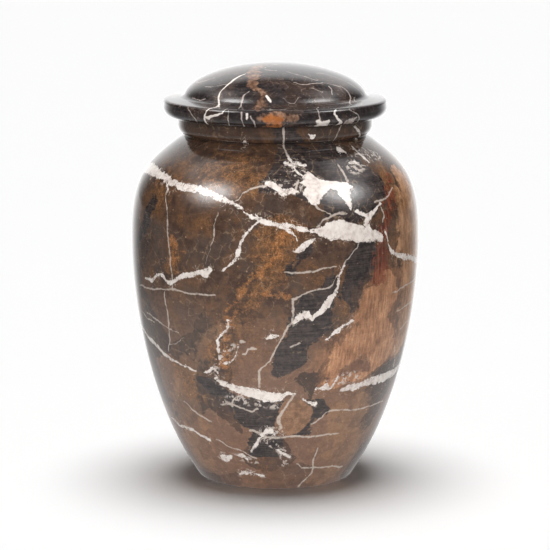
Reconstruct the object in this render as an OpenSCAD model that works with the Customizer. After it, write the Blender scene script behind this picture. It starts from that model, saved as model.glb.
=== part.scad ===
// Cremation urn turned from marble: a hollow round body on a flat foot, and a domed lid that lifts off.
// Millimetres, +Z up. The origin is the centre of the underside.

/* [Body] */
// Radius of the body at its widest line
belly_r = 92; // [88:0.5:98]
// Height of the widest line above the underside
belly_z = 154; // [148:0.5:160]
// Radius of the flat that the urn stands on
foot_r = 48.2; // [45:0.2:52]
// Rounding between the flat and the side
foot_edge_r = 1.8; // [1:0.2:3]
// Lean of the side as it leaves the foot, in degrees from upright
foot_lean = 34.4; // [31:0.2:37]
// How far the side keeps that lean
foot_reach = 50.5; // [44:0.5:56]
// How far below the widest line the side begins to stand upright
belly_drop = 49; // [42:0.5:56]
// How far above the widest line the side stays upright
belly_rise = 37.5; // [32:0.5:42]
// Radius at the top of the shoulder
shoulder_r = 61.5; // [60:0.1:63]
// Height of the top of the shoulder
shoulder_z = 217.6; // [216:0.2:218.6]
// Fall of the shoulder from its top, in degrees from level
shoulder_fall = 36; // [32:0.5:39]
// How far the shoulder keeps that fall
shoulder_reach = 28; // [24:0.5:32]

/* [Neck] */
// Radius at the bottom of the turned groove under the neck
groove_r = 56.9; // [56:0.1:57.4]
// Height of the middle of the groove
groove_z = 220.5; // [220:0.1:221]
// Radius of the neck
neck_r = 61.9; // [60:0.1:64]
// Height at which the neck's soft underside reaches its full radius
neck_full_z = 227.2; // [225:0.2:229]
// Height of the rim that the lid rests on
rim_z = 232.1; // [231:0.1:234]
// Small rounding on the rim's outer and inner edges
rim_edge_r = 0.8; // [0.4:0.1:1.2]

/* [Hollow] */
// Thickness of the side wall at the widest line
wall = 9; // [8:0.5:12]
// Thickness of the floor
floor_t = 12; // [10:0.5:16]
// Radius of the floor's flat part inside
floor_r = 33; // [29:0.5:34]
// Rounding between the floor and the wall inside
floor_edge_r = 10; // [6:0.5:12]
// Radius of the round mouth
mouth_r = 48; // [46.5:0.5:51]
// Height at which the mouth's straight part begins
mouth_z = 213; // [209:0.5:216]

/* [Lid] */
// Radius of the lid's rim
lid_r = 71.1; // [69:0.1:74]
// Radius of the flat ring under the rim
lid_seat_r = 65.3; // [64.5:0.1:67]
// Height of the rounding under the lid's rim
lid_round_h = 6.1; // [5:0.1:7]
// Height of the rim's upper edge above its underside
lid_edge_h = 10.9; // [10:0.1:12.5]
// Rounding of the rim's upper edge
lid_edge_r = 0.8; // [0.5:0.1:1.2]
// Rise of the rim's top from its edge to the hollow at the foot of the dome
lid_slope_h = 1.4; // [1:0.1:1.8]
// Radius of the hollow rounding at the foot of the dome
cove_r = 4; // [3:0.2:5]
// Radius of the dome where it leaves that hollow
dome_r = 57.4; // [56:0.2:58.4]
// Steepness of the dome's foot, in degrees from level
dome_lean = 60; // [54:0.5:64]
// How far the dome keeps that steepness
dome_reach = 13; // [10:0.5:16]
// How far the dome's top stays level
dome_level = 25; // [20:0.5:30]
// Height of the dome from the top of the hollow to the crown
dome_h = 19; // [17:0.2:22]
// Radius of the plug under the lid, which keeps it centred in the mouth
plug_r = 46.4; // [44:0.1:46.4]
// Depth of the plug below the rim
plug_h = 9; // [6:0.5:12]
// Bevel on the plug's lower edge
plug_bevel = 1.2; // [0.5:0.1:2]

/* [Hidden] */
$fn = 180;
steps = 14;
cavity_r = belly_r - wall;
groove_half_w = 0.3;
cove_turn = dome_lean - 8;

// Points along a curve that leaves a for b and reaches d from c
function curve(a, b, c, d, n) = [
    for (i = [1:n]) let (t = i / n, s = 1 - t)
        a * s * s * s + b * 3 * s * s * t + c * 3 * s * t * t + d * t * t * t
];

// Points along an arc round [x, z], half-widths rx and rz, from angle a0 to a1
function arc(x, z, rx, rz, a0, a1, n) = [
    for (i = [0:n]) let (a = a0 + (a1 - a0) * i / n) [x + rx * cos(a), z + rz * sin(a)]
];

// A unit step at angle a from level
function toward(a) = [cos(a), sin(a)];

// The side of a round vessel, from the edge of its flat up to the widest line and in to the point top
function side(flat_r, flat_z, edge_r, reach, widest_r, drop, rise, top, fall, fall_reach) =
    let (
        turned = arc(flat_r, flat_z + edge_r, edge_r, edge_r, -90, -foot_lean, 4),
        start = turned[len(turned) - 1],
        widest = [widest_r, belly_z]
    )
    concat(
        turned,
        curve(start, start + reach * toward(90 - foot_lean), widest - [0, drop], widest, steps),
        curve(widest, widest + [0, rise], top + fall_reach * toward(-fall), top, steps)
    );

function body_outside() = concat(
    side(foot_r, 0, foot_edge_r, foot_reach, belly_r, belly_drop, belly_rise,
         [shoulder_r, shoulder_z], shoulder_fall, shoulder_reach),
    [
        [groove_r + 0.8, groove_z - 0.5],
        [groove_r, groove_z - groove_half_w],
        [groove_r, groove_z + groove_half_w]
    ],
    arc(groove_r + 0.7, neck_full_z, neck_r - groove_r - 0.7, neck_full_z - groove_z - 0.5, -90, 0, 6),
    arc(neck_r - rim_edge_r, rim_z - rim_edge_r, rim_edge_r, rim_edge_r, 0, 90, 3)
);

function body_inside() = concat(
    [[0, floor_t]],
    side(floor_r, floor_t, floor_edge_r, foot_reach - 5, cavity_r, belly_drop - 3, belly_rise - 4,
         [mouth_r, mouth_z], shoulder_fall + 6, shoulder_reach - 4),
    arc(mouth_r + rim_edge_r, rim_z - rim_edge_r, rim_edge_r, rim_edge_r, 180, 90, 3),
    [[mouth_r + rim_edge_r, rim_z + 5], [0, rim_z + 5]]
);

function lid_outline() =
    let (
        dome_foot_z = rim_z + lid_edge_h + lid_slope_h + cove_r * (cos(8) - cos(dome_lean)),
        cove_x = dome_r + cove_r * sin(dome_lean),
        cove_z = dome_foot_z + cove_r * cos(dome_lean),
        dome_foot = [dome_r, dome_foot_z],
        crown = [0, dome_foot_z + dome_h]
    )
    concat(
        [
            [0, rim_z - plug_h],
            [plug_r - plug_bevel, rim_z - plug_h],
            [plug_r, rim_z - plug_h + plug_bevel],
            [plug_r, rim_z]
        ],
        arc(lid_seat_r, rim_z + lid_round_h, lid_r - lid_seat_r, lid_round_h, -90, 0, 6),
        arc(lid_r - 0.4 - lid_edge_r, rim_z + lid_edge_h - lid_edge_r, lid_edge_r, lid_edge_r, 0, 82, 3),
        arc(cove_x, cove_z, cove_r, cove_r, -98, -98 - cove_turn, 4),
        curve(dome_foot, dome_foot + dome_reach * toward(180 - dome_lean),
              crown + [dome_level, 0], crown, steps)
    );

// The hollow body, turned in one piece: foot, belly, shoulder, groove and neck
module urn_body() {
    color([0.38, 0.29, 0.22])
    difference() {
        rotate_extrude() polygon(concat([[0, 0]], body_outside(), [[0, rim_z]]));
        rotate_extrude() polygon(body_inside());
    }
}

// The lid, turned in one piece: plug, rim, hollow ring and dome
module lid() {
    color([0.25, 0.21, 0.2])
    rotate_extrude() polygon(lid_outline());
}

urn_body();
lid();
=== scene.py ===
import math
import bmesh
import bpy
from mathutils import Matrix, Vector


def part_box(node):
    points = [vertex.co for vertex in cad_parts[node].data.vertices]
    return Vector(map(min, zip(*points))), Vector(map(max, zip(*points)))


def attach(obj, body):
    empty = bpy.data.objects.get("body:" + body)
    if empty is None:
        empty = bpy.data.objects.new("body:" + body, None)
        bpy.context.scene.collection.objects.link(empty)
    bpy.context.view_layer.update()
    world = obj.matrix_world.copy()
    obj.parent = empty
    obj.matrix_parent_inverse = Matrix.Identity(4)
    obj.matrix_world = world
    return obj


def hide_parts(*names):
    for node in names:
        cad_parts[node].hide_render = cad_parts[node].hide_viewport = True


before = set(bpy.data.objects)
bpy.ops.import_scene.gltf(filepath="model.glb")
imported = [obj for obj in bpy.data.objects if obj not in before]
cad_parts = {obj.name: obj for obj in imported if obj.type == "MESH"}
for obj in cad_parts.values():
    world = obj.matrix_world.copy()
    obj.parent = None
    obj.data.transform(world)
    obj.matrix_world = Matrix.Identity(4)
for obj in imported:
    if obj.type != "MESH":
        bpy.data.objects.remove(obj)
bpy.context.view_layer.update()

scene = bpy.context.scene

# ---------------------------------------------------------------------------------------------------------
# The studio: a camera a little above the urn, a wide pale floor, and soft light all round.
# The side behind the camera is darker, so the polish shows the two soft boxes and the pale floor.
scene.view_settings.view_transform = "Standard"
CAMERA_HEIGHT_ANGLE = math.radians(10.05)
CAMERA_REACH = 1.82
aim = Vector((-0.0001, 0.0, 0.1288))
camera_data = bpy.data.cameras.new("camera")
camera_data.lens = 185.7
camera_data.sensor_width = 36.0
camera_data.clip_end = 100.0
camera = bpy.data.objects.new("camera", camera_data)
away = Vector((0.0, -math.cos(CAMERA_HEIGHT_ANGLE), math.sin(CAMERA_HEIGHT_ANGLE)))
camera.location = aim + CAMERA_REACH * away
camera.rotation_euler = (-away).to_track_quat("-Z", "Y").to_euler()
scene.collection.objects.link(camera)
scene.camera = camera

SOFT_BOX_REACH = 1.2
LAYER_GAP = 0.01
LAYERS = ((1.0, 0.22), (1.5, 0.32), (2.1, 0.26), (2.8, 0.1))
URN_MIDDLE = Vector((0.0, 0.0, 0.14))


def soft_box(name, turn, rise, width, height, roll, strength):
    """A round soft box that only the polish shows, turn degrees round from the front and rise degrees up.
    Four layers, each wider and fainter, make it fade towards its edge."""
    turned, raised = math.radians(turn), math.radians(rise)
    level = math.cos(raised)
    way = Vector((math.sin(turned) * level, -math.cos(turned) * level, math.sin(raised)))
    facing = (-way).to_track_quat("-Z", "Y").to_matrix() @ Matrix.Rotation(math.radians(roll), 3, "Z")
    for layer, (spread, share) in enumerate(LAYERS):
        lamp = bpy.data.lights.new(f"{name}_{layer}", "AREA")
        lamp.shape = "ELLIPSE"
        lamp.size = width * spread
        lamp.size_y = height * spread
        lamp.energy = strength * share
        stand = bpy.data.objects.new(lamp.name, lamp)
        stand.location = URN_MIDDLE + (SOFT_BOX_REACH + LAYER_GAP * layer) * way
        stand.rotation_euler = facing.to_euler()
        stand.visible_camera = False
        stand.visible_diffuse = False
        scene.collection.objects.link(stand)


soft_box("left_soft_box", -61, 39, 0.46, 0.42, 8, 14)
soft_box("right_soft_box", 65, 37, 0.54, 0.42, -8, 13)
soft_box("left_far_glow", -104, 54, 0.45, 0.4, 0, 1.4)
soft_box("right_far_glow", 104, 54, 0.45, 0.4, 0, 1.6)
soft_box("front_glow", 0, 56, 0.5, 0.3, 0, 0.4)

# A wide lamp overhead, a little behind, draws the soft dark ring round the foot.
above = bpy.data.lights.new("overhead", "SUN")
above.energy = 3.2
above.angle = math.radians(41)
above_stand = bpy.data.objects.new("overhead", above)
above_stand.visible_glossy = False
above_stand.rotation_euler = (math.radians(-6), 0.0, 0.0)
scene.collection.objects.link(above_stand)

# A broad lamp over the camera lights the stone alone, so it draws no second shadow on the floor.
front = bpy.data.lights.new("front_fill", "AREA")
front.shape = "RECTANGLE"
front.size = 1.8
front.size_y = 1.2
front.energy = 36
front_stand = bpy.data.objects.new("front_fill", front)
front_stand.location = (0.0, -1.8, 0.9)
front_stand.rotation_euler = (URN_MIDDLE - front_stand.location).to_track_quat("-Z", "Y").to_euler()
front_stand.visible_camera = False
front_stand.visible_glossy = False
stone_only = bpy.data.collections.new("lit_by_front_fill")
front_stand.light_linking.receiver_collection = stone_only
scene.collection.objects.link(front_stand)


class Tone:
    """One output of a material's nodes. Arithmetic on these adds Math nodes."""

    def __init__(self, tree, socket=None):
        self.tree = tree
        self.socket = socket

    def make(self, kind, settings, inputs, output=0):
        """Adds a node of any kind, sets it up, feeds it and returns one of its outputs."""
        node = self.tree.nodes.new(kind)
        for name, value in settings.items():
            if name == "stops":
                ramp = node.color_ramp
                while len(ramp.elements) < len(value):
                    ramp.elements.new(0.5)
                for element, (place, colour) in zip(ramp.elements, value):
                    element.position = place
                    element.color = colour
            elif name == "marks":
                node.mapping.use_clip = False
                line = node.mapping.curves[0]
                while len(line.points) < len(value):
                    line.points.new(0.0, 0.0)
                for point, mark in zip(line.points, value):
                    point.location = mark
                    point.handle_type = "AUTO_CLAMPED"
                node.mapping.update()
            else:
                setattr(node, name, value)
        for name, value in inputs.items():
            if isinstance(value, Tone):
                self.tree.links.new(value.socket, node.inputs[name])
            else:
                node.inputs[name].default_value = value
        return Tone(self.tree, node.outputs[output] if node.outputs else None)

    def maths(self, operation, *values):
        """One sum of the Math node, on values or links."""
        return self.make("ShaderNodeMath", {"operation": operation}, dict(enumerate(values)))

    def __add__(self, other):
        return self.maths("ADD", self, other)

    __radd__ = __add__

    def __mul__(self, other):
        return self.maths("MULTIPLY", self, other)

    __rmul__ = __mul__

    def __sub__(self, other):
        return self.maths("SUBTRACT", self, other)

    def __rsub__(self, other):
        return self.maths("SUBTRACT", other, self)

    def __truediv__(self, other):
        return self.maths("DIVIDE", self, other)

    def __abs__(self):
        return self.maths("ABSOLUTE", self)

    def step(self, low, high):
        """0 below low, 1 above high, and a soft rise between."""
        return self.make("ShaderNodeMapRange", {"interpolation_type": "SMOOTHSTEP"},
                         {"Value": self, "From Min": low, "From Max": high})

    def over(self, under, colour):
        """colour laid over under where this mask is 1."""
        return self.make("ShaderNodeMix", {"data_type": "RGBA"}, {0: self, 6: under, 7: colour}, 2)

    def cloud(self, scale, detail, where, rough=0.55, output="Fac"):
        """Cloudy unevenness with scale lumps to the metre."""
        return self.make("ShaderNodeTexNoise", {},
                         {"Vector": where, "Scale": scale, "Detail": detail, "Roughness": rough}, output)


def parts_of(vector):
    """The three parts of a place, a direction or a colour."""
    split = vector.make("ShaderNodeSeparateXYZ", {}, {"Vector": vector})
    node = split.socket.node
    return [Tone(vector.tree, node.outputs[i]) for i in range(3)]


def bare_material(name):
    """A new material with no nodes in it yet, and a way to build them."""
    material = bpy.data.materials.new(name)
    material.use_nodes = True
    material.node_tree.nodes.clear()
    return material, Tone(material.node_tree)


# Light that falls on the urn comes a little more from the front. What the polish shows is dim in front and
# bright low down behind.
sky = bpy.data.worlds.new("studio")
sky.use_nodes = True
scene.world = sky
sky.node_tree.nodes.clear()
room = Tone(sky.node_tree)
across, back, up = parts_of(room.make("ShaderNodeTexCoord", {}, {}, "Generated"))
backdrop = abs(across).step(0.74, 0.30) * up.step(0.78, 0.6) * back.step(0.0, 0.2) * 1.85
lit = room.make("ShaderNodeBackground", {}, {"Strength": 0.09 - back.step(-0.4, 0.4) * 0.04})
shown = room.make("ShaderNodeBackground", {}, {"Strength": backdrop + 0.045})
polish_sees = room.make("ShaderNodeLightPath", {}, {}, "Is Glossy Ray")
either = room.make("ShaderNodeMixShader", {}, {0: polish_sees, 1: lit, 2: shown})
room.make("ShaderNodeOutputWorld", {}, {"Surface": either})

# The floor throws a steady pale light back at the stone, strongest close by and straight behind, whatever
# shadow lies on it.
floor_mesh = bpy.data.meshes.new("floor")
FLOOR = 12.0
floor_mesh.from_pydata(
    [(-FLOOR, -FLOOR, 0), (FLOOR, -FLOOR, 0), (FLOOR, FLOOR, 0), (-FLOOR, FLOOR, 0)], [], [(0, 1, 2, 3)])
floor_paint, paint = bare_material("pale_floor")
floor_spot = paint.make("ShaderNodeTexCoord", {}, {}, "Object")
across, back = parts_of(floor_spot)[:2]
reach = paint.maths("SQRT", across * across + back * back)
near_glow = (0.95 - reach.step(0.1, 0.7) * 0.73) * (reach.step(0.04, 0.17) * 0.5 + 0.5)
back_glow = (abs(across) / reach).step(0.88, 0.34) * back.step(0.0, 0.15) * 1.7
plain = paint.make("ShaderNodeBsdfPrincipled", {}, {
    "Base Color": (0.93, 0.93, 0.93, 1.0), "Roughness": 0.9, "Specular IOR Level": 0.1})
steady = paint.make("ShaderNodeEmission", {}, {"Strength": paint.maths("MAXIMUM", near_glow, back_glow)})
seen = paint.make("ShaderNodeLightPath", {}, {}, "Is Camera Ray")
either = paint.make("ShaderNodeMixShader", {}, {0: seen, 1: steady, 2: plain})
paint.make("ShaderNodeOutputMaterial", {}, {"Surface": either})
floor_paint.cycles.emission_sampling = "NONE"
floor_mesh.materials.append(floor_paint)
floor = bpy.data.objects.new("floor", floor_mesh)
scene.collection.objects.link(floor)

# ---------------------------------------------------------------------------------------------------------
# The body: one block of brown marble, turned on a lathe outside and hollowed through the mouth, then
# polished. It stands on its own flat foot. A turned groove parts the neck from the shoulder.
MM = 0.001


def screen_colour(red, green, blue):
    """A colour given as it looks on a screen, 0 to 255, as light."""
    def light(value):
        value /= 255.0
        return value / 12.92 if value <= 0.04045 else ((value + 0.055) / 1.055) ** 2.4
    return (light(red), light(green), light(blue), 1.0)


def curve(a, b, c, d, count):
    """Points along a curve that leaves a for b and reaches d from c."""
    points = []
    for i in range(1, count + 1):
        t = i / count
        s = 1.0 - t
        points.append(tuple(
            p * s ** 3 + 3 * q * s * s * t + 3 * r * s * t * t + e * t ** 3
            for p, q, r, e in zip(a, b, c, d)))
    return points


def arc(x, z, rx, rz, start, stop, count):
    """Points along an arc round (x, z), angles in degrees."""
    points = []
    for i in range(count + 1):
        angle = math.radians(start + (stop - start) * i / count)
        points.append((x + rx * math.cos(angle), z + rz * math.sin(angle)))
    return points


def toward(point, reach, angle):
    """The point that lies reach away at angle degrees above level."""
    angle = math.radians(angle)
    return (point[0] + reach * math.cos(angle), point[1] + reach * math.sin(angle))


def line(a, b, count):
    """Points along a straight line that leaves a and reaches b."""
    steps = [i / count for i in range(1, count + 1)]
    return [(a[0] + (b[0] - a[0]) * t, a[1] + (b[1] - a[1]) * t) for t in steps]


WELD = 0.002 * MM


def lathe_tree():
    """Turns an outline, drawn as points in the XZ plane, into a closed round solid."""
    tree = bpy.data.node_groups.new("lathe", "GeometryNodeTree")
    face = tree.interface
    face.new_socket("Outline", in_out="INPUT", socket_type="NodeSocketGeometry")
    face.new_socket("Segments", in_out="INPUT", socket_type="NodeSocketInt")
    face.new_socket("Stone", in_out="INPUT", socket_type="NodeSocketMaterial")
    face.new_socket("Turned", in_out="OUTPUT", socket_type="NodeSocketGeometry")
    start = tree.nodes.new("NodeGroupInput")

    def add(kind, settings, inputs):
        node = tree.nodes.new(kind)
        for name, value in settings.items():
            setattr(node, name, value)
        for name, value in inputs.items():
            if isinstance(value, bpy.types.NodeSocket):
                tree.links.new(value, node.inputs[name])
            else:
                node.inputs[name].default_value = value
        return node.outputs

    def maths(operation, *values):
        return add("ShaderNodeMath", {"operation": operation}, dict(enumerate(values)))[0]

    outline = start.outputs["Outline"]
    marks = add("GeometryNodeAttributeDomainSize", {"component": "MESH"}, {
        "Geometry": outline})["Point Count"]
    round_count = maths("ADD", start.outputs["Segments"], 1.0)
    sheet = add("GeometryNodeMeshGrid", {}, {
        "Size X": 1.0, "Size Y": 1.0, "Vertices X": marks, "Vertices Y": round_count})
    place = add("GeometryNodeInputPosition", {}, {})["Position"]
    along = add("ShaderNodeSeparateXYZ", {}, {"Vector": place})
    mark = maths("ROUND", maths("MULTIPLY", maths("ADD", along["X"], 0.5), maths("SUBTRACT", marks, 1.0)))
    turned = maths("MULTIPLY", maths("ADD", along["Y"], 0.5), 2.0 * math.pi)
    taken = add("GeometryNodeSampleIndex", {"data_type": "FLOAT_VECTOR", "domain": "POINT"},
                {"Geometry": outline, "Value": place, "Index": mark})["Value"]
    taken = add("ShaderNodeSeparateXYZ", {}, {"Vector": taken})
    spot = add("ShaderNodeCombineXYZ", {}, {
        "X": maths("MULTIPLY", taken["X"], maths("SINE", turned)),
        "Y": maths("MULTIPLY", maths("MULTIPLY", taken["X"], maths("COSINE", turned)), -1.0),
        "Z": taken["Z"]})["Vector"]
    shape = add("GeometryNodeSetPosition", {}, {"Geometry": sheet["Mesh"], "Position": spot})["Geometry"]
    shape = add("GeometryNodeMergeByDistance", {}, {"Geometry": shape, "Distance": WELD})["Geometry"]
    shape = add("GeometryNodeSetShadeSmooth", {}, {"Geometry": shape})["Geometry"]
    shape = add("GeometryNodeRealizeInstances", {}, {"Geometry": shape})["Geometry"]
    shape = add("GeometryNodeSetMaterial", {}, {
        "Geometry": shape, "Material": start.outputs["Stone"]})["Geometry"]
    finish = tree.nodes.new("NodeGroupOutput")
    tree.links.new(shape, finish.inputs["Turned"])
    return tree


lathe = lathe_tree()


def turn_piece(name, outline, stone, segments):
    """A finished piece, turned from its outline in millimetres, with its faces outwards."""
    mesh = bpy.data.meshes.new(name)
    points = [(r * MM, 0.0, z * MM) for r, z in outline]
    mesh.from_pydata(points, [(i, i + 1) for i in range(len(points) - 1)], [])
    piece = bpy.data.objects.new(name, mesh)
    scene.collection.objects.link(piece)
    work = piece.modifiers.new("lathe", "NODES")
    work.node_group = lathe
    sockets = {item.name: item.identifier for item in lathe.interface.items_tree}
    work[sockets["Segments"]] = segments
    work[sockets["Stone"]] = stone
    view = bpy.context.evaluated_depsgraph_get()
    turned = bpy.data.meshes.new_from_object(piece.evaluated_get(view), depsgraph=view)
    turned.name = name
    piece.modifiers.clear()
    piece.data = turned
    bm = bmesh.new()
    bm.from_mesh(turned)
    bmesh.ops.recalc_face_normals(bm, faces=bm.faces)
    bm.to_mesh(turned)
    bm.free()
    return piece


# Radii and heights in millimetres. The outline runs out under the foot, up the side, over the neck's top
# edge and back down inside the hollow.
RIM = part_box("urn_body")[1].z / MM
FOOT = 48.2
FOOT_EDGE = 1.8
LEAN = 34.4
WIDEST = (92.0, 154.0)
SHOULDER_TOP = (61.5, 217.6)
GROOVE = 56.9
NECK = 61.9
NECK_FOOT = 227.2
EDGE = 0.8
MOUTH = 48.0
MOUTH_FOOT = 213.0
HOLLOW_FLOOR = 12.0
HOLLOW_FLAT = 33.0
HOLLOW_WIDEST = (83.0, 154.0)


def side(flat_r, flat_z, edge_r, reach, widest, drop, rise, top, fall, fall_reach, count):
    """The side of a round vessel, from the edge of its flat, by its widest line, up to the point top."""
    turned = arc(flat_r, flat_z + edge_r, edge_r, edge_r, -90, -LEAN, 6)
    start = turned[-1]
    up = curve(start, toward(start, reach, 90 - LEAN), (widest[0], widest[1] - drop), widest, count)
    over = curve(widest, (widest[0], widest[1] + rise), toward(top, fall_reach, -fall), top, count)
    return turned + up + over


outside = [(0.0, 0.0)] + line((0.0, 0.0), (FOOT - 0.4, 0.0), 4)
outside += side(FOOT, 0.0, FOOT_EDGE, 50.5, WIDEST, 49, 37.5, SHOULDER_TOP, 36, 28, 52)
outside += line(SHOULDER_TOP, (GROOVE + 0.8, 220.0), 3)
outside += [(GROOVE + 0.3, 220.1), (GROOVE, 220.35), (GROOVE, 220.7), (GROOVE + 0.3, 220.95)]
outside += arc(NECK - 4.3, NECK_FOOT, 4.3, 6.2, -90, 0, 12)
outside += line((NECK, NECK_FOOT), (NECK, RIM - EDGE - 0.1), 3)
outside += arc(NECK - EDGE, RIM - EDGE, EDGE, EDGE, 0, 90, 4)
outside += line((NECK - EDGE, RIM), (MOUTH + EDGE + 0.1, RIM), 3)
inside = arc(MOUTH + EDGE, RIM - EDGE, EDGE, EDGE, 90, 180, 4)
inside += line((MOUTH, RIM - EDGE), (MOUTH, MOUTH_FOOT), 3)
hollow = side(
    HOLLOW_FLAT, HOLLOW_FLOOR, 10.0, 45.5, HOLLOW_WIDEST, 46, 33.5, (MOUTH, MOUTH_FOOT), 42, 24, 18)
inside += hollow[-2::-1] + line(hollow[0], (0.0, HOLLOW_FLOOR), 4)

marble, stone = bare_material("brown_marble_polished")
spot = stone.make("ShaderNodeTexCoord", {}, {}, "Object")


class Place:
    """Where a point lies on a round piece: degrees round from the front, positive to the right, a distance
    along its side in millimetres, and the millimetres in one degree there. Both are shaken a little, as
    stone breaks. The back, away from the front, has its veins vary more."""

    def __init__(self, spot, along):
        x, y, z = parts_of(spot)
        shake = parts_of(spot.cloud(420.0, 3.0, spot, 0.6, "Color"))
        drift = parts_of(spot.cloud(90.0, 2.0, spot, 0.5, "Color"))
        radius = spot.maths("SQRT", x * x + y * y) * 1000.0
        self.turn = spot.maths("ARCTAN2", x, y * -1.0) * (180.0 / math.pi)
        self.turn = self.turn + (shake[0] - 0.5) * 1.1 + (drift[0] - 0.5) * 1.8
        self.along = along(radius, z * 1000.0) + (shake[1] - 0.5) * 1.8 + (drift[1] - 0.5) * 2.8
        self.degree = radius * (math.pi / 180.0)
        self.away = abs(self.turn).step(78.0, 110.0)
        self.swell = ((shake[2] - 0.5) * 1.2 + (drift[2] - 0.5) * 1.2) * (self.away * 2.2 + 1.0)

    def level(self, *marks):
        """How far inside a band that runs round: marks of (degrees round, distance along, half-width)."""
        middle, half = self.course(self.turn, marks)
        return half - abs(self.along - middle)

    def upright(self, *marks):
        """How far inside a band that runs up: marks of (distance along, degrees round, half-width)."""
        middle, half = self.course(self.along, marks)
        return half - abs(self.turn - middle) * self.degree

    def course(self, way, marks):
        """The middle and half-width of a band, along way, with both ends run out to nothing."""
        first, last = marks[0], marks[-1]
        end, gone = 1.2, -3.0
        marks = [(first[0] - end, first[1], gone), *marks, (last[0] + end, last[1], gone)]
        middle = way.make("ShaderNodeFloatCurve", {"marks": [(a, m) for a, m, h in marks]}, {"Value": way})
        half = way.make("ShaderNodeFloatCurve", {"marks": [(a, h) for a, m, h in marks]}, {"Value": way})
        return middle, half

    def deepest(self, bands):
        """The depth inside whichever band a point lies deepest in."""
        total = None
        for run, *marks in bands:
            depth = run(self, *marks)
            total = depth if total is None else total.maths("MAXIMUM", total, depth)
        return total


LEVEL, UPRIGHT = Place.level, Place.upright
place = Place(spot, lambda radius, height: height)


# Every shape of stone in it is broken: cells of rock, large and small, give the zones their angular edges.
def warped(spot):
    """The same place, shaken by up to a few millimetres."""
    return spot.make("ShaderNodeVectorMath", {"operation": "MULTIPLY_ADD"}, {
        0: spot.cloud(160.0, 3.0, spot, 0.6, "Color"), 1: (0.006, 0.006, 0.006), 2: spot})


def cells(scale, feature, output, where):
    """Broken rock with scale pieces to the metre."""
    inputs = {"Vector": where, "Scale": scale}
    return where.make("ShaderNodeTexVoronoi", {"feature": feature}, inputs, output)


warp = warped(spot)
chunk = parts_of(cells(120.0, "F1", "Color", warp))
chip = parts_of(cells(420.0, "F1", "Color", warp))
crack = cells(75.0, "DISTANCE_TO_EDGE", "Distance", warp)
craze = cells(260.0, "DISTANCE_TO_EDGE", "Distance", warp)

# Ground colour: chocolate brown, clouded darker, greyer and warmer, with fine level lines left by the
# turning. Lower down it breaks into large lumps of lighter and darker stone.
broad = spot.cloud(24.0, 4.0, spot, 0.55)
patch = spot.cloud(60.0, 4.0, spot, 0.6)
fine = spot.cloud(260.0, 5.0, spot, 0.7)
flecks = spot.cloud(1100.0, 2.0, spot, 0.6)
turning = stone.make("ShaderNodeVectorMath", {"operation": "MULTIPLY"}, {0: spot, 1: (0.05, 0.05, 1.0)})
turning = spot.cloud(1300.0, 2.0, turning, 0.6)
ground = patch.make("ShaderNodeValToRGB", {"stops": [
    (0.34, screen_colour(64, 47, 39)),
    (0.45, screen_colour(80, 61, 51)),
    (0.52, screen_colour(94, 71, 57)),
    (0.60, screen_colour(106, 77, 57)),
    (0.70, screen_colour(80, 62, 53))]}, {"Fac": patch * 0.75 + fine * 0.25})
greyed = (broad + (chunk[1] - 0.5) * 0.12).step(0.50, 0.60)
ground = (greyed * 0.6).over(ground, screen_colour(80, 69, 63))
# The ground darkens towards the shoulder and neck.
ground = (place.along.step(150.0, 225.0) * 0.4).over(ground, screen_colour(58, 44, 36))
# Painted light: the ground turns lighter towards the foot, standing in for the glow of the pale floor on the
# lower body.
foot_painted_light = place.along.step(70.0, 10.0)
ground = (foot_painted_light * 0.5).over(ground, screen_colour(126, 94, 78))
boulder = parts_of(cells(36.0, "F1", "Color", warp))[0] + (fine - 0.5) * 0.12
light_lumps = boulder.step(0.52, 0.56) * place.along.step(150.0, 70.0)
ground = (light_lumps * 0.6).over(ground, screen_colour(138, 104, 84))
dark_lumps = boulder.step(0.30, 0.26) * place.along.step(190.0, 90.0)
ground = (dark_lumps * 0.45).over(ground, screen_colour(72, 58, 52))
pale_zone = place.deepest([
    (UPRIGHT, (2, 34, 6), (14, 36, 14), (28, 38, 18), (44, 38, 18), (56, 40, 16), (64, 44, 8)),
    (UPRIGHT, (8, -50, 6), (28, -50, 12), (48, -48, 15), (66, -46, 12), (84, -42, 8), (94, -36, 3)),
    (LEVEL, (-34, 96, 3), (-28, 100, 8), (-20, 110, 5), (-14, 112, 2)),
])
pale = (pale_zone + (chunk[0] - 0.5) * 9.0 + (chip[1] - 0.5) * 3.0 + (fine - 0.5) * 10.0).step(-3.0, 4.0)
ground = (pale * 0.6).over(ground, (patch * 0.7 + chunk[2] * 0.3).step(0.35, 0.6).over(
    screen_colour(132, 100, 80), screen_colour(156, 118, 88)))

# Rust: warm iron-stained patches with a netted edge.
rust_zone = place.deepest([
    (LEVEL, (-38, 207, 2), (-30, 205, 8), (-16, 204, 9), (-6, 203, 7), (-2, 203, 2)),
    (UPRIGHT, (132, -6, 4), (140, -4, 9), (150, -3, 12), (160, 0, 15), (168, 3, 17), (177, 3, 14),
        (181, 4, 6)),
    (UPRIGHT, (84, -22, 6), (92, -22, 9), (100, -21, 10), (107, -18, 7), (115, -16, 4), (121, -15, 3),
        (128, -10, 7), (134, -7, 7), (138, -6, 2)),
    (UPRIGHT, (104, 26, 2), (112, 27, 3), (120, 28, 3), (126, 29, 2)),
    (UPRIGHT, (60, -40, 5), (68, -42, 6), (76, -44, 6), (86, -46, 3)),
    (UPRIGHT, (174, -58, 3), (182, -56, 7), (190, -57, 8), (195, -60, 4)),
    (UPRIGHT, (142, -44, 3), (149, -42, 6), (156, -43, 6), (161, -44, 3)),
    (UPRIGHT, (180, 62, 4), (190, 58, 9), (200, 57, 8), (206, 60, 4)),
    (UPRIGHT, (90, 92, 8), (118, 98, 20), (140, 94, 14), (176, 88, 10), (204, 84, 6)),
    (LEVEL, (-186, 30, 14), (-160, 36, 10), (-130, 44, 14), (-104, 58, 10), (-84, 62, 4)),
    (LEVEL, (118, 44, 4), (150, 38, 12), (186, 30, 14)),
])
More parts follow.
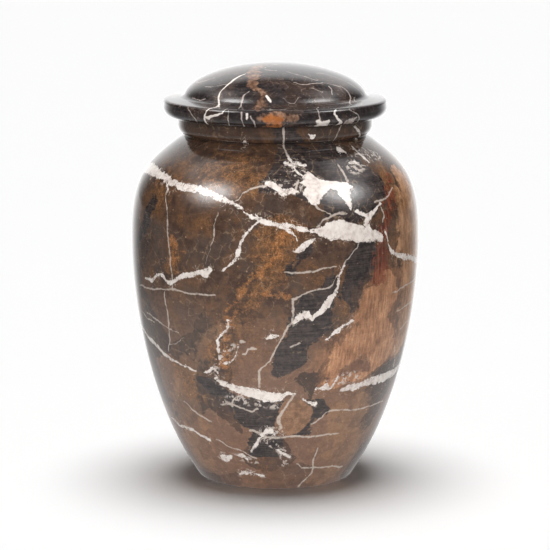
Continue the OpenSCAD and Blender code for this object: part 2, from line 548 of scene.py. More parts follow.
nets = abs(spot.cloud(260.0, 3.0, warp, 0.6) - 0.5)
threads = (1.0 - nets.step(0.0, 0.022)) * 0.8 + (1.0 - craze.step(0.0, 0.06)) * 0.5
rust = (rust_zone + (chunk[0] - 0.5) * 10.0 + (fine - 0.5) * 30.0).step(-5.0, 7.0)
stray = (broad + (chunk[2] - 0.5) * 0.2).step(0.40, 0.33) * 0.5
rust = rust.maths("MAXIMUM", rust, stray)
rust_stone = fine.step(0.38, 0.66).over(screen_colour(94, 70, 50), screen_colour(116, 82, 54))
colour = (rust * 0.65).over(ground, rust_stone)
colour = (rust * threads * 0.7).over(colour, screen_colour(178, 122, 78))
bright_seam = place.deepest([
    (UPRIGHT, (84, -23, 2), (92, -22, 3), (104, -20, 2), (114, -19, 2), (122, -18, 2.5),
        (131, -14, 3), (140, -10, 3.5), (147, -5, 3.5), (156, -1, 3.5), (168, 3, 5), (175, 4, 2)),
    (LEVEL, (-10, 133, 1), (-4, 133, 2), (3, 132, 1.5), (6, 131, 0.8)),
    (UPRIGHT, (144, -44, 1), (152, -43, 3.5), (160, -43, 4), (166, -44, 1)),
])
bright_seam = (bright_seam + (fine - 0.5) * 24.0 + (chip[2] - 0.5) * 4.0).step(-0.5, 3.5)
colour = (bright_seam * 0.7).over(colour, threads.step(0.1, 0.9).over(
    screen_colour(146, 96, 58), screen_colour(204, 146, 96)))

# Charcoal: the dark ground that the white veins broke open.
dark_zone = place.deepest([
    (LEVEL, (-6, 199, 4), (0, 204, 9), (8, 206, 12), (20, 203, 16), (32, 203, 16), (44, 200, 13),
        (52, 196, 8)),
    (LEVEL, (20, 184, 5), (26, 183, 7), (36, 181, 6), (44, 182, 5)),
    (UPRIGHT, (116, 33, 1), (122, 33, 4), (130, 31, 8), (138, 33, 10), (145, 35, 12), (151, 35, 11),
        (162, 36, 7)),
    (UPRIGHT, (80, 1, 4), (86, 4, 9), (91, 6, 10), (98, 7, 9), (104, 11, 12), (108, 14, 13),
        (113, 15, 13), (121, 15, 12), (128, 15, 12), (131, 16, 11), (135, 20, 6), (141, 22, 3),
        (148, 23, 2)),
    (UPRIGHT, (25, -8, 10), (33, -5, 10), (43, -6, 9), (48, -7, 13), (53, -7, 16), (58, -8, 17),
        (63, -9, 20), (66, -22, 12), (71, -29, 9), (76, -32, 6)),
    (UPRIGHT, (215, 10, 3), (222, 7, 8), (232, 5, 9), (240, 5, 9)),
    (UPRIGHT, (150, -70, 2), (157, -69, 4), (163, -65, 5), (170, -62, 6), (178, -61, 6),
        (187, -59, 2)),
    (UPRIGHT, (40, 14, 3), (50, 18, 4), (56, 21, 5), (63, 19, 3)),
    (LEVEL, (5, 147, 3), (10, 155, 3), (14, 160, 2)),
    (LEVEL, (26, 80, 2), (30, 81, 5), (36, 82, 6), (41, 81, 3)),
    (UPRIGHT, (48, -150, 8), (70, -146, 17), (98, -140, 14), (120, -146, 22), (146, -152, 18),
        (170, -148, 8)),
    (UPRIGHT, (150, 120, 8), (172, 128, 20), (192, 134, 26), (210, 140, 20), (232, 146, 12)),
    (UPRIGHT, (20, 104, 8), (44, 110, 16), (66, 112, 10), (90, 104, 4)),
])
dark = dark_zone + (0.5 - boulder) * place.away * 18.0 + (chunk[0] - 0.5) * 5.0
dark = (dark + (chip[0] - 0.5) * 2.0 + (fine - 0.5) * 4.0).step(-0.5, 0.7)
dark_stone = broad.make("ShaderNodeValToRGB", {"stops": [
    (0.38, screen_colour(42, 37, 37)),
    (0.50, screen_colour(58, 52, 51)),
    (0.62, screen_colour(76, 66, 62))]},
    {"Fac": fine * 0.5 + turning * 0.5})
colour = (dark * 0.95).over(colour, dark_stone)

# The tan clast on the right, with upright streaks, and the red seam above it.
streaks = spot.make("ShaderNodeTexNoise", {}, {
    "Vector": spot.make("ShaderNodeVectorMath", {"operation": "MULTIPLY"}, {0: spot, 1: (1.0, 1.0, 0.06)}),
    "Scale": 700.0, "Detail": 2.0, "Roughness": 0.6})
tan_zone = place.deepest([
    (UPRIGHT, (70, 26, 2), (77, 34, 18), (84, 40, 28), (90, 43, 29), (96, 43, 27), (101, 43, 25),
        (106, 43, 19), (113, 42, 13), (119, 45, 15), (125, 47, 16), (130, 48, 15), (134, 48, 12),
        (138, 49, 7), (142, 49, 2)),
    (UPRIGHT, (74, 150, 6), (92, 158, 20), (116, 162, 26), (140, 158, 18), (160, 152, 8)),
    (UPRIGHT, (104, -104, 4), (124, -100, 14), (150, -98, 18), (174, -104, 8)),
])
tan = tan_zone + (boulder - 0.5) * place.away * 20.0
tan = (tan + (chunk[1] - 0.5) * 6.0 + (fine - 0.5) * 6.0).step(-0.8, 1.4)
halo = tan_zone + 9.0 + (chunk[1] - 0.5) * 8.0
halo = (halo + (boulder - 0.5) * 10.0 + (fine - 0.5) * 14.0).step(-3.0, 8.0)
colour = (halo * (1.0 - dark * 0.75) * 0.7).over(colour, (patch * 0.5 + streaks * 0.5).step(0.40, 0.62).over(
    screen_colour(114, 78, 58), screen_colour(156, 112, 82)))
tan_stone = broad.make("ShaderNodeValToRGB", {"stops": [
    (0.36, screen_colour(128, 88, 62)),
    (0.50, screen_colour(168, 120, 88)),
    (0.64, screen_colour(200, 150, 112))]},
    {"Fac": streaks * 0.5 + patch * 0.5})
colour = tan.over(colour, tan_stone)
pit = place.deepest([
    (LEVEL, (29, 80, 1.5), (33, 82, 4.5), (38, 83, 5.5), (43, 82, 4), (46, 80, 1)),
])
pit = (pit + (fine - 0.5) * 12.0 + (chip[0] - 0.5) * 3.0).step(-1.0, 1.5)
colour = (pit * 0.7).over(colour, screen_colour(88, 62, 52))
clast_zone = place.deepest([
    (UPRIGHT, (41, 8, 4), (45, 8, 9), (50, 9, 11), (56, 10, 11), (61, 9, 8), (64, 8, 4)),
])
clast = (clast_zone + (fine - 0.5) * 2.0).step(-0.3, 0.5)
clast_stone = fine.step(0.36, 0.64).over(screen_colour(124, 92, 70), screen_colour(146, 110, 84))
colour = (clast * 0.95).over(colour, clast_stone)
golden_zone = place.deepest([
    (UPRIGHT, (84, 66, 4), (96, 72, 16), (112, 74, 20), (130, 72, 19), (146, 69, 19), (160, 68, 20),
        (178, 69, 17), (192, 70, 12), (203, 70, 4)),
])
golden = (golden_zone + (chunk[2] - 0.5) * 8.0 + (fine - 0.5) * 16.0).step(-3.0, 4.0)
golden_stone = (streaks * 0.5 + patch * 0.5).step(0.4, 0.6).over(
    screen_colour(152, 110, 78), screen_colour(206, 156, 116))
colour = (golden * 0.8).over(colour, golden_stone)
red_zone = place.deepest([
    (UPRIGHT, (134, 44, 4), (140, 45, 6), (148, 46, 6), (156, 46, 6), (166, 47, 4), (176, 50, 4),
        (186, 54, 5), (194, 56, 3), (200, 60, 2)),
])
red = (red_zone + (streaks - 0.5) * 16.0 + (chip[1] - 0.5) * 5.0).step(-1.5, 2.5)
red_stone = streaks.step(0.4, 0.62).over(screen_colour(88, 44, 34), screen_colour(142, 78, 56))
colour = (red * 0.8).over(colour, red_stone)

# Hair-fine healed cracks, scattered grains, and small changes of tone everywhere.
crazed = (1.0 - crack.step(0.0, 0.035)) * broad.step(0.40, 0.55) * fine.step(0.38, 0.58)
colour = (crazed * 0.42).over(colour, screen_colour(158, 130, 104))
grains = cells(330.0, "F1", "Distance", spot).step(0.20, 0.10) * chip[2].step(0.80, 0.86)
colour = (grains * 0.5).over(colour, screen_colour(196, 160, 130))
tone = (fine - 0.5) * 0.8 + (flecks - 0.5) * 0.6 + (turning - 0.5) * 0.35 + (chip[0] - 0.5) * 0.12
colour = colour.make("ShaderNodeHueSaturation", {}, {"Color": colour, "Value": tone + 1.0})

# Veins: cream calcite where the stone broke and healed, wide ones first.
wide_veins = place.deepest([
    (LEVEL, (-186, 188, 2.2), (-168, 189, 3.4), (-150, 195, 1.8), (-133, 197, 2.6), (-116, 204, 3.8),
        (-100, 203, 2.6), (-88, 199, 3.2), (-76, 200, 3), (-60, 199, 2.4), (-47, 196, 2.2),
        (-33, 194, 2.4), (-23, 191, 2), (-15, 186, 1.2), (-11, 182, 1), (-6, 179, 1.9), (4, 175, 1.7),
        (13, 172, 1.5), (19, 171, 4), (24, 172, 6), (30, 170, 6), (37, 167, 5), (43, 165, 3.6),
        (46, 164, 2.6)),
    (UPRIGHT, (190, -50, 0.3), (194, -52, 1.4), (198, -55, 1.6)),
    (UPRIGHT, (147, -20, 0.7), (151, -17, 1.3), (155, -15, 1.4), (160, -14, 1.1), (168, -12, 1.2),
        (175, -8, 1.3), (179, -6, 1.4), (183, -8, 0.8)),
    (LEVEL, (-63, 134, 0.5), (-58, 134, 1.1), (-51, 139, 1.2), (-46, 135, 1.8), (-41, 139, 1.5),
        (-36, 142, 1.9), (-30, 144, 1.9), (-27, 144, 3.2), (-25, 147, 2)),
    (LEVEL, (-186, 58, 1.6), (-166, 66, 1.2), (-148, 69, 2.2), (-130, 80, 1.6), (-112, 86, 1),
        (-95, 97, 1.8), (-84, 99, 1.4), (-76, 98, 1.2), (-70, 95, 1.2), (-61, 91, 1.5),
        (-54, 86, 1.5), (-48, 84, 0.9), (-42, 82, 0.8), (-36, 80, 0.5)),
    (LEVEL, (-33, 80, 0.6), (-30, 81, 1.4), (-27, 83, 1.6), (-25, 81, 0.6)),
    (LEVEL, (-27, 77, 0.6), (-24, 74, 2), (-19, 72, 2.2), (-14, 70, 2.8), (-8, 68, 4), (-3, 66, 3.6),
        (2, 66, 2.4), (6, 68, 1.2), (9, 68, 0.6)),
    (LEVEL, (30, 67, 0.6), (33, 69, 2), (40, 69.5, 2.4), (48, 71, 2.8), (57, 71, 3.2), (66, 71, 3),
        (76, 73, 2.4), (92, 76, 2.8), (108, 73, 1.6), (126, 66, 2.4), (148, 64, 1.4), (168, 57, 2),
        (186, 58, 1.6)),
    (LEVEL, (18, 71, 0.4), (21, 71, 1.5), (23, 72, 2.8), (25, 70, 0.6)),
    (LEVEL, (25, 71, 0.5), (27, 74, 1.4), (29, 79, 0.5)),
    (UPRIGHT, (183, 31.5, 0.6), (188, 30.5, 2.4), (192, 30, 4), (195, 29, 5), (197, 24, 15),
        (199, 22, 15), (201, 17, 7), (204, 15, 3), (206, 15, 0.8)),
    (UPRIGHT, (187, 16, 2.4), (191, 16, 5), (194, 17, 8), (197, 19, 9)),
    (UPRIGHT, (169, 39, 2.6), (173, 38, 2.4), (178, 40, 3.4), (181, 43, 2.4), (185, 47, 1.4)),
    (LEVEL, (33, 182, 0.5), (36, 180, 1.6), (39, 178, 2)),
    (LEVEL, (-4, 200, 1), (-1, 199, 2.4), (4, 195, 2.2), (9, 195, 1)),
    (LEVEL, (48, 167, 0.8), (50, 157, 1.8), (54, 152, 1.7), (60, 149, 1.9), (70, 145, 1.9),
        (80, 142, 1.6), (92, 142, 2.2), (104, 150, 3), (116, 161, 2.4), (132, 168, 3.6),
        (150, 181, 2), (170, 187, 3), (186, 188, 2.2)),
    (UPRIGHT, (28, -118, 0.6), (52, -121, 1.4), (74, -128, 1), (96, -126, 1.8), (122, -134, 1.2),
        (150, -133, 1.8), (176, -139, 1), (196, -136, 1.6)),
    (UPRIGHT, (63, 146, 1), (84, 142, 2), (104, 146, 1.2), (128, 139, 2.4), (150, 136, 1.2),
        (166, 131, 1.6)),
    (LEVEL, (-172, 128, 0.6), (-160, 126, 1.6), (-148, 133, 2.6), (-134, 131, 1.4), (-120, 139, 0.8),
        (-104, 137, 1.6), (-94, 142, 0.6)),
    (LEVEL, (96, 108, 0.5), (108, 112, 1.4), (121, 110, 2), (132, 118, 1.2), (142, 117, 0.6)),
    (UPRIGHT, (92, 176, 0.5), (108, 173, 1.6), (131, 177, 1), (158, 171, 2), (188, 170, 1)),
    (LEVEL, (-158, 24, 0.5), (-142, 30, 1.2), (-124, 27, 1.8), (-108, 33, 0.8), (-96, 32, 0.4)),
    (LEVEL, (98, 34, 0.6), (116, 29, 1.4), (134, 33, 0.8), (152, 24, 1.4), (166, 24, 0.4)),
    (LEVEL, (14, 118, 0.8), (17, 120, 1.8), (19, 123, 3.6), (21, 127, 3.8), (23, 130, 2.4),
        (24, 133, 1.2)),
    (UPRIGHT, (131, 24, 1), (137, 25, 1.2), (143, 25.5, 1.1), (149, 27, 1)),
    (LEVEL, (7, 115, 0.8), (9, 118, 2.6), (13, 120, 2.2), (15, 117, 1)),
    (LEVEL, (20, 103, 0.3), (24, 107, 1.1), (26, 108, 1.4), (29, 111, 1.3), (33, 113, 0.5)),
    (LEVEL, (7.5, 159, 0.8), (9, 160, 2), (12, 163, 2.2), (14.5, 165.5, 1.8), (15.5, 167, 0.6)),
    (LEVEL, (3, 174, 0.4), (5, 172, 1.8), (8, 168, 0.8), (9, 166, 0.3)),
    (LEVEL, (-70, 41, 0.5), (-60, 38, 1), (-50, 38, 1.3), (-43, 35, 1.3), (-37, 33, 0.6)),
    (UPRIGHT, (101, -24, 1), (106, -22, 0.9), (110, -20, 1), (116, -19, 0.6)),
    (UPRIGHT, (90, -23.5, 1.3), (94, -24, 0.9), (101, -24, 1)),
    (LEVEL, (-22, 87, 0.8), (-19, 89, 1.1), (-16, 95, 0.7), (-15, 99, 0.4)),
    (LEVEL, (-4, 105, 0.5), (-2, 106.5, 1.3), (1, 107, 0.4)),
    (LEVEL, (-7, 40, 0.8), (-4, 43, 2.4), (-1, 43, 2), (0, 40, 0.8)),
    (LEVEL, (-14, 28, 0.6), (-12, 31, 1.8), (-9, 35, 1.5), (-7, 38, 1)),
    (LEVEL, (-34, 22, 0.8), (-30, 21, 2.6), (-27, 22, 1.8), (-25, 23, 0.8)),
    (LEVEL, (-22, 24, 0.5), (-19, 24, 1.5), (-16, 22, 1)),
    (LEVEL, (-24, 10, 0.5), (-20, 12, 1.4), (-14, 12, 0.9), (-7, 10, 0.8)),
    (LEVEL, (1, 30, 0.5), (4, 27.5, 1.2), (7, 25, 1), (9, 24, 0.4)),
    (LEVEL, (12, 64, 0.3), (16, 62, 1), (19, 61, 1.4)),
    (LEVEL, (4, 211, 0.4), (7, 210, 1.2), (10, 211, 1), (15, 210, 1)),
    (UPRIGHT, (202, 13, 0.7), (206, 10, 0.9), (210, 9, 1.1), (215, 7, 0.8)),
    (LEVEL, (39, 209, 0.5), (42, 209, 1), (45, 208, 0.5)),
    (LEVEL, (-20, 221, 0.4), (-18, 222, 1.1), (-16, 221, 0.3)),
    (LEVEL, (19, 227, 0.4), (22, 225, 1.7), (24, 226, 0.5)),
    (LEVEL, (52, 229, 0.7), (58, 225, 1.4), (64, 221, 0.8)),
    (LEVEL, (36, 215, 0.5), (39, 216.5, 1.8), (42, 215, 0.5)),
    (LEVEL, (-176, 104, 0.6), (-168, 103, 3), (-158, 106, 5), (-150, 101, 3), (-144, 98, 0.8)),
    (UPRIGHT, (196, 128, 0.6), (201, 130, 4), (206, 136, 6), (210, 140, 2)),
    (LEVEL, (84, 44, 0.6), (92, 41, 2.6), (100, 43, 1)),
    (UPRIGHT, (208, 52, 1), (212, 51, 1.2), (217, 50, 0.8)),
])
thin_veins = place.deepest([
    (UPRIGHT, (131, -44, 0.4), (143, -44.5, 0.4), (164, -46, 0.45), (180, -48, 0.4), (191, -51, 0.4)),
    (LEVEL, (4, 147, 0.5), (8, 146, 0.5), (14, 146, 0.5), (19, 148.5, 0.4), (24, 149, 0.3)),
    (UPRIGHT, (149, 27, 0.5), (155, 30, 0.4), (162, 34, 0.3)),
    (LEVEL, (-70, 128, 0.3), (-56, 129, 0.4), (-43, 131, 0.4), (-34, 130.5, 0.5), (-24, 131, 0.3)),
    (UPRIGHT, (90, -51.5, 0.3), (98, -49.5, 0.4), (112, -48.5, 0.45), (129, -49, 0.4)),
    (LEVEL, (-65, 111, 0.3), (-58, 109.5, 0.4), (-50, 106, 0.35), (-43, 104, 0.25)),
    (LEVEL, (-71, 110, 0.25), (-66, 107.5, 0.35), (-59, 107, 0.25)),
    (UPRIGHT, (73, -7, 0.7), (82, -7, 0.6), (91, -2, 0.5), (101, 1, 0.45), (111, 5, 0.6),
        (117, 7, 0.6), (124, 7, 0.5), (130, 7, 0.45)),
    (LEVEL, (7, 130, 0.5), (12, 133, 0.45), (17, 135.5, 0.5), (22, 137, 0.4), (25, 143, 0.4)),
    (LEVEL, (54, 127, 0.3), (60, 129, 0.5), (70, 129.5, 0.4), (80, 130, 0.3)),
    (LEVEL, (59, 114, 0.25), (68, 116, 0.35), (82, 116, 0.25)),
    (LEVEL, (64, 101, 0.25), (72, 104, 0.35), (80, 104, 0.25)),
    (UPRIGHT, (76, 66, 0.5), (83, 65, 0.4), (91, 62, 0.3)),
    (LEVEL, (-33, 34, 0.4), (-26, 30, 0.5), (-18, 27, 0.35), (-11, 23, 0.3)),
    (LEVEL, (-49, 57, 0.3), (-43, 52, 0.5), (-36, 47.5, 0.6), (-33, 46, 0.3)),
    (LEVEL, (-13, 43, 0.5), (-9, 42, 0.7), (-5, 39, 0.8), (1, 38, 0.8), (8, 39, 0.7), (18, 38, 0.6),
        (28, 38, 0.5), (35, 38, 0.3)),
    (LEVEL, (18, 47, 0.3), (22, 50, 0.4), (27, 55, 0.5), (33, 55, 0.5), (40, 53, 0.4), (55, 53, 0.4),
        (66, 53, 0.4)),
    (LEVEL, (13, 19, 0.2), (17, 16, 0.4), (25, 15, 0.5), (38, 14, 0.5), (49, 12, 0.4)),
    (UPRIGHT, (1, 17, 0.6), (7, 21, 0.5), (12, 24, 0.5), (22, 23, 0.4), (29, 24, 0.3)),
    (UPRIGHT, (45, 3, 0.8), (50, 2, 1), (56, 3, 0.7), (62, 6, 0.6), (67, 8, 0.8)),
    (LEVEL, (-26, 59, 0.3), (-22, 60, 0.7), (-15, 58, 0.4), (-11, 56, 0.5), (-8, 58, 0.3)),
    (UPRIGHT, (58, -20, 0.4), (64, -19, 0.6), (68, -15, 0.6)),
    (LEVEL, (-16, 189, 0.3), (-13, 194, 0.4), (-8, 197, 0.4), (-4, 198, 0.4)),
    (LEVEL, (-13, 94, 0.6), (-11, 97, 0.5), (-8, 98, 0.3)),
    (LEVEL, (-14, 102, 0.8), (-12, 102, 0.4)),
    (LEVEL, (6, 100, 0.3), (8, 100.5, 0.6), (10, 102, 0.3)),
    (UPRIGHT, (213, 7, 0.4), (220, 5, 0.5), (226, 5, 0.6), (231, 5, 0.6)),
    (UPRIGHT, (221, 37, 0.1), (227, 39, 0.3), (233, 42, 0.2)),
    (UPRIGHT, (60, -168, 0.4), (88, -160, 0.5), (112, -166, 0.4), (140, -160, 0.5), (176, -168, 0.4)),
    (LEVEL, (-120, 160, 0.3), (-104, 156, 0.5), (-90, 162, 0.3)),
    (LEVEL, (104, 84, 0.3), (126, 92, 0.5), (146, 86, 0.4), (170, 96, 0.5)),
    (UPRIGHT, (104, 88, 0.3), (126, 90, 0.4), (160, 86, 0.4), (190, 90, 0.3)),
    (LEVEL, (44, 186, 0.4), (50, 186.5, 0.5), (55, 190, 0.5), (58, 192, 0.3)),
    (UPRIGHT, (173, 47, 0.3), (177, 48, 0.5), (182, 47, 0.5)),
    (LEVEL, (16, 174, 0.3), (20, 179, 0.6), (25, 181, 0.8), (29, 181, 0.5)),
    (UPRIGHT, (181, 22, 0.3), (185, 17, 0.7), (190, 16, 0.9)),
    (UPRIGHT, (194, 8, 0.9), (198, 9, 0.6), (202, 10, 0.3)),
    (UPRIGHT, (199, 33, 0.6), (203, 33, 0.7), (209, 32, 0.4)),
    (LEVEL, (-50, 95, 0.1), (-45, 97, 0.15), (-40, 101, 0.1)),
    (UPRIGHT, (150, -27, 0.05), (160, -25.5, 0.1), (169, -24, 0.3), (176, -24, 0.05), (183, -23, 0.1)),
])
ragged = (chip[1] - 0.5) * 0.9 + (fine - 0.5) * 2.6
wide_depth = wide_veins + place.swell * 0.75 + ragged
cluster_zone = place.deepest([
    (LEVEL, (-36, 22, 1.5), (-32, 22, 3.6), (-27, 22, 3.4), (-23, 23, 2), (-19, 23, 3), (-14, 21, 2),
        (-10, 19, 1)),
    (UPRIGHT, (18, 6, 2), (24, 6, 4), (30, 3, 4), (36, -4, 5), (42, -3, 5), (47, -4, 2)),
    (LEVEL, (-26, 10, 1), (-20, 12, 2.6), (-13, 12, 2), (-6, 10, 1)),
    (LEVEL, (-9, 41, 1), (-4, 43, 4), (2, 42, 3), (6, 40, 1)),
    (LEVEL, (-26, 62, 1), (-20, 64, 3), (-14, 64, 4), (-6, 62, 3), (2, 60, 1)),
    (UPRIGHT, (78, -26, 1), (86, -25, 2), (94, -22, 3), (101, -17, 1)),
    (LEVEL, (-172, 100, 2), (-160, 104, 5), (-146, 100, 3)),
    (LEVEL, (120, 196, 2), (134, 200, 6), (148, 196, 4), (156, 190, 2)),
    (UPRIGHT, (28, -92, 2), (40, -88, 4), (52, -90, 2)),
    (LEVEL, (5, 209, 2), (9, 207, 4), (13, 205, 3), (16, 203, 1)),
    (LEVEL, (-6, 198, 2), (2, 198, 4), (9, 197, 4), (12, 200, 2)),
    (LEVEL, (36, 206, 2), (46, 209, 5), (56, 212, 4), (66, 210, 2)),
    (LEVEL, (26, 74, 2), (32, 76, 4), (40, 76, 3)),
])
scraps = (spot.cloud(380.0, 3.0, warp, 0.6) - 0.54 + (chip[0] - 0.5) * 0.12).step(0.0, 0.03)
scraps = cluster_zone.step(-1.0, 1.5) * scraps
slivers = abs(spot.cloud(150.0, 3.0, warp, 0.6) - 0.47).step(0.016, 0.004) * wide_depth.step(2.6, 0.8)
wide = wide_depth.step(0.0, 0.45) * (1.0 - slivers * 0.85)
thin = (thin_veins + place.swell * 0.5 + 0.1).step(-0.25, 0.3) * (0.35 + fine.step(0.36, 0.5) * 0.65)
fringe = wide_veins.step(-5.0, -0.5) * (1.0 - craze.step(0.0, 0.06))
fringe = fringe * fine.step(0.46, 0.58) * chunk[2].step(0.4, 0.6)
cream = broad.make("ShaderNodeValToRGB", {"stops": [
    (0.36, screen_colour(186, 172, 164)),
    (0.48, screen_colour(222, 210, 202)),
    (0.62, screen_colour(238, 230, 222))]}, {"Fac": fine * 0.7 + broad * 0.3})
colour = (fringe * 0.8).over(colour, screen_colour(200, 184, 170))
colour = (thin * 0.75).over(colour, screen_colour(205, 190, 178))
colour = (scraps * 0.75).over(colour, screen_colour(206, 192, 182))
colour = wide.over(colour, cream)

polish = stone.make("ShaderNodeBsdfPrincipled", {}, {
    "Base Color": colour,
    "Roughness": (fine - 0.5) * 0.1 + wide * 0.05 + 0.12,
    "IOR": 1.5,
    "Normal": stone.make("ShaderNodeBump", {}, {
        "Height": fine * 0.3 + flecks * 0.15 - wide * 0.15 + turning * 0.2,
        "Distance": 0.0002,
        "Strength": 0.25}),
})
polish.make("ShaderNodeOutputMaterial", {}, {"Surface": polish})

urn_body = turn_piece("urn_body_marble", outside + inside, marble, 320)
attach(urn_body, "root")
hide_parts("urn_body")

# ---------------------------------------------------------------------------------------------------------
# The lid: a second, darker block of marble, turned to a low dome over a round-edged rim. A plug under it
# drops into the mouth and keeps it centred. It only rests on the neck.
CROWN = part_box("lid")[1].z / MM
DOME_RISE = 19.0
STEEP = 65.0
COVE = 4.0
PLUG = 46.4
PLUG_FOOT = RIM - 9.0
BEVEL = 1.2
FILLET = 0.3
UNDERSIDE = 65.3
BULGE = (5.8, 6.1)
RIM_SHOULDER = RIM + 8.8
RIM_EDGE = 2.1
FALL = 8

dome_foot = (57.4, CROWN - DOME_RISE)
cove = toward(dome_foot, COVE, 90 - STEEP)
lid_outline = [(0.0, PLUG_FOOT)] + line((0.0, PLUG_FOOT), (PLUG - BEVEL, PLUG_FOOT), 4)
lid_outline += line((PLUG - BEVEL, PLUG_FOOT), (PLUG, PLUG_FOOT + BEVEL), 2)
lid_outline += line((PLUG, PLUG_FOOT + BEVEL), (PLUG, RIM - FILLET), 3)
lid_outline += arc(PLUG + FILLET, RIM - FILLET, FILLET, FILLET, 180, 90, 3)
lid_outline += line((PLUG + FILLET, RIM), (UNDERSIDE, RIM), 5)
lid_outline += arc(UNDERSIDE, RIM + BULGE[1], BULGE[0], BULGE[1], -90, 0, 18)[1:]
lid_outline += line((UNDERSIDE + BULGE[0], RIM + BULGE[1]), (68.7 + RIM_EDGE, RIM_SHOULDER), 3)
lid_outline += arc(68.7, RIM_SHOULDER, RIM_EDGE, RIM_EDGE, 0, 90 - FALL, 12)[1:]
lid_outline += line(lid_outline[-1], toward(cove, COVE, -90 - FALL), 8)
lid_outline += arc(cove[0], cove[1], COVE, COVE, -90 - FALL, -90 - STEEP, 10)[1:]
lid_outline += curve(dome_foot, toward(dome_foot, 13, 180 - STEEP), (25.0, CROWN), (0.0, CROWN), 48)

dark_marble, slab = bare_material("dark_marble_polished")
spot = slab.make("ShaderNodeTexCoord", {}, {}, "Object")
place = Place(spot, lambda radius, height: radius + CROWN - height)
warp = warped(spot)
chunk = parts_of(cells(120.0, "F1", "Color", warp))
craze = cells(200.0, "DISTANCE_TO_EDGE", "Distance", warp)
broad = spot.cloud(30.0, 4.0, spot, 0.55)
fine = spot.cloud(260.0, 5.0, spot, 0.7)
rings = slab.make("ShaderNodeCombineXYZ", {}, {"X": place.along * 0.001, "Y": place.turn * 0.00002})
turning = spot.cloud(1300.0, 2.0, rings, 0.6)
colour = fine.make("ShaderNodeValToRGB", {"stops": [
    (0.36, screen_colour(36, 31, 32)),
    (0.50, screen_colour(48, 42, 42)),
    (0.64, screen_colour(66, 57, 55))]},
    {"Fac": fine * 0.6 + turning * 0.4})
brown = (broad + (chunk[0] - 0.5) * 0.1).step(0.53, 0.58)
colour = (brown * 0.35).over(colour, screen_colour(80, 62, 52))

# A rusty seam runs from the crown down the front of the dome and stains the edge of the rim.
seam = place.deepest([
    (UPRIGHT, (14, -40, 2), (27, -30, 4.5), (46, -19, 4), (58, -17, 2.4), (63, -10, 3), (70, -8, 2.6),
        (77, -9, 4), (86, -10, 2.6), (92, -9, 3)),
    (LEVEL, (-10, 98, 1), (-6, 97, 3), (0, 98, 4), (5, 98, 2), (11, 99, 1)),
    (UPRIGHT, (30, 150, 3), (52, 158, 6), (76, 150, 5), (100, 156, 8)),
    (LEVEL, (-128, 96, 2), (-112, 92, 6), (-96, 97, 3)),
])
seam = (seam + (chunk[1] - 0.5) * 3.0 + (fine - 0.5) * 9.0).step(-1.0, 1.4)
seam_stone = fine.step(0.36, 0.66).over(screen_colour(90, 64, 50), screen_colour(148, 114, 92))
colour = (seam * 0.85).over(colour, seam_stone)
orange = place.deepest([
    (LEVEL, (-6, 98, 1), (-3, 98, 3), (1, 99, 3), (4, 99, 1)),
])
orange = (orange + (fine - 0.5) * 8.0).step(-0.6, 1.6)
colour = (orange * 0.8).over(colour, screen_colour(176, 104, 52))

wide_veins = place.deepest([
    (UPRIGHT, (37, -34, 0.5), (42, -36.5, 0.8), (52, -37.5, 0.9), (60, -38, 0.7), (67, -39, 0.7),
        (74, -38.5, 0.8), (80, -36, 0.9), (87, -33.5, 1.1), (91, -34.5, 0.6), (96, -37, 0.6),
        (101, -38, 0.7)),
    (LEVEL, (-37, 99.5, 0.8), (-33, 98, 0.8), (-30, 97, 0.8), (-27, 95, 0.6), (-25, 90, 0.3)),
    (UPRIGHT, (69, -5.5, 0.4), (71, -5, 1), (74, -3.5, 1.1), (76, -3, 0.4)),
    (UPRIGHT, (95, -14, 0.8), (99, -14, 0.6)),
    (UPRIGHT, (93, 32, 0.6), (96, 31, 1), (98, 32, 1.2), (100, 34, 1.2), (102, 36, 0.8)),
    (LEVEL, (21, 100, 0.4), (25, 101, 0.8), (28, 100.5, 0.5)),
    (UPRIGHT, (20, 118, 0.6), (40, 126, 1.2), (58, 122, 0.9), (80, 130, 1.3), (102, 127, 0.9)),
    (UPRIGHT, (34, -142, 0.5), (56, -150, 1.1), (78, -147, 0.8), (102, -154, 1.2)),
    (LEVEL, (-186, 60, 0.7), (-168, 66, 1), (-150, 58, 0.6), (-128, 62, 1), (-104, 72, 0.5)),
    (LEVEL, (128, 70, 0.5), (150, 64, 0.9), (168, 60, 0.7), (186, 60, 0.7)),
])
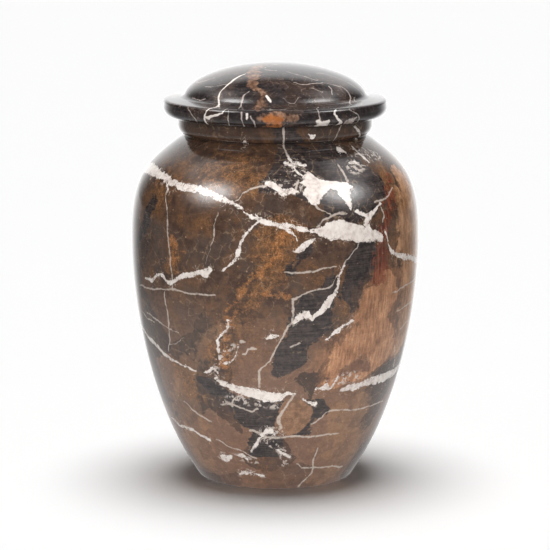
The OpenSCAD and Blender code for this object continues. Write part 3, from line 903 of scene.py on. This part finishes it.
thin_veins = place.deepest([
    (LEVEL, (-58, 64, 0.2), (-48, 61, 0.3), (-39, 57.5, 0.3)),
    (LEVEL, (-80, 62, 0.2), (-67, 56, 0.3), (-62, 50, 0.3)),
    (UPRIGHT, (64, -18, 0.3), (70, -21, 0.4), (77, -21, 0.4), (88, -20, 0.3)),
    (UPRIGHT, (93, -50, 0.3), (98, -47, 0.4), (102, -44, 0.3)),
    (UPRIGHT, (94, -17, 0.4), (99, -17, 0.4), (102, -16, 0.3)),
    (UPRIGHT, (97, -12, 0.4), (102, -10, 0.4)),
    (UPRIGHT, (93, -24, 0.3), (102, -24, 0.3)),
    (LEVEL, (-7, 87, 0.4), (-3, 89, 0.4), (3, 89, 0.4), (7, 86.5, 0.3)),
    (LEVEL, (-64, 77.5, 0.3), (-55, 78, 0.4), (-49, 76, 0.3)),
    (LEVEL, (-22, 19, 0.3), (-14, 26.5, 0.4), (2, 27, 0.4)),
    (LEVEL, (-24, 22, 0.3), (-10, 13, 0.4), (13, 9, 0.3)),
    (LEVEL, (14, 31, 0.3), (22, 37, 0.5), (30, 43, 0.5), (38, 50, 0.4)),
    (LEVEL, (50, 38, 0.3), (61, 45, 0.4), (66, 55, 0.5), (71, 67, 0.5), (74, 76, 0.4)),
    (LEVEL, (15, 52, 0.3), (22, 56, 0.4), (30, 55, 0.4), (40, 54.5, 0.4), (47, 59, 0.3),
        (54, 62, 0.4)),
    (UPRIGHT, (62, 54, 0.4), (69, 55.5, 0.5), (76, 55, 0.5), (81, 51, 0.5), (86, 48, 0.5)),
    (UPRIGHT, (60, 42, 0.3), (65, 42, 0.4), (71, 40, 0.3)),
    (LEVEL, (54, 88, 0.4), (56, 83, 0.6), (60, 76, 0.4)),
    (LEVEL, (5, 72, 0.1), (8, 76, 0.2), (11, 77, 0.2), (15, 72, 0.1)),
    (LEVEL, (26, 61, 0.1), (30, 64, 0.3), (34, 67, 0.2)),
    (UPRIGHT, (94, 40.5, 0.4), (97, 44, 0.5), (100, 47, 0.6), (103, 49, 0.4)),
    (LEVEL, (38, 101, 0.3), (42, 101, 0.6), (45, 100, 0.3)),
    (UPRIGHT, (84, 25, 0.3), (92, 22, 0.3), (102, 23, 0.4)),
    (UPRIGHT, (30, 84, 0.3), (60, 92, 0.4), (78, 88, 0.5), (102, 94, 0.4)),
    (UPRIGHT, (40, -96, 0.4), (70, -88, 0.4), (102, -92, 0.4)),
    (UPRIGHT, (44, 164, 0.4), (72, 172, 0.4), (102, 168, 0.5)),
])
wide_depth = wide_veins + place.swell * 0.7
wide = wide_depth.step(-0.15, 0.35)
thin = (thin_veins + place.swell * 0.4 + 0.05).step(-0.25, 0.3) * (0.35 + fine.step(0.36, 0.5) * 0.65)
crazed = (1.0 - craze.step(0.0, 0.035)) * broad.step(0.42, 0.56) * fine.step(0.44, 0.6)
colour = (crazed * 0.45).over(colour, screen_colour(170, 146, 130))
colour = (thin * 0.65).over(colour, screen_colour(206, 192, 184))
colour = wide.over(colour, screen_colour(228, 218, 210))
tone = (fine - 0.5) * 0.8 + (turning - 0.5) * 0.5
colour = colour.make("ShaderNodeHueSaturation", {}, {"Color": colour, "Value": tone + 1.0})
polish = slab.make("ShaderNodeBsdfPrincipled", {}, {
    "Base Color": colour,
    "Roughness": (fine - 0.5) * 0.1 + 0.13,
    "IOR": 1.5,
    "Normal": slab.make("ShaderNodeBump", {}, {
        "Height": fine * 0.3 + turning * 0.3, "Distance": 0.0002, "Strength": 0.25}),
})
polish.make("ShaderNodeOutputMaterial", {}, {"Surface": polish})

lid = turn_piece("lid_marble", lid_outline, dark_marble, 320)
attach(lid, "root")
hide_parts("lid")

stone_only.objects.link(urn_body)
stone_only.objects.link(lid)
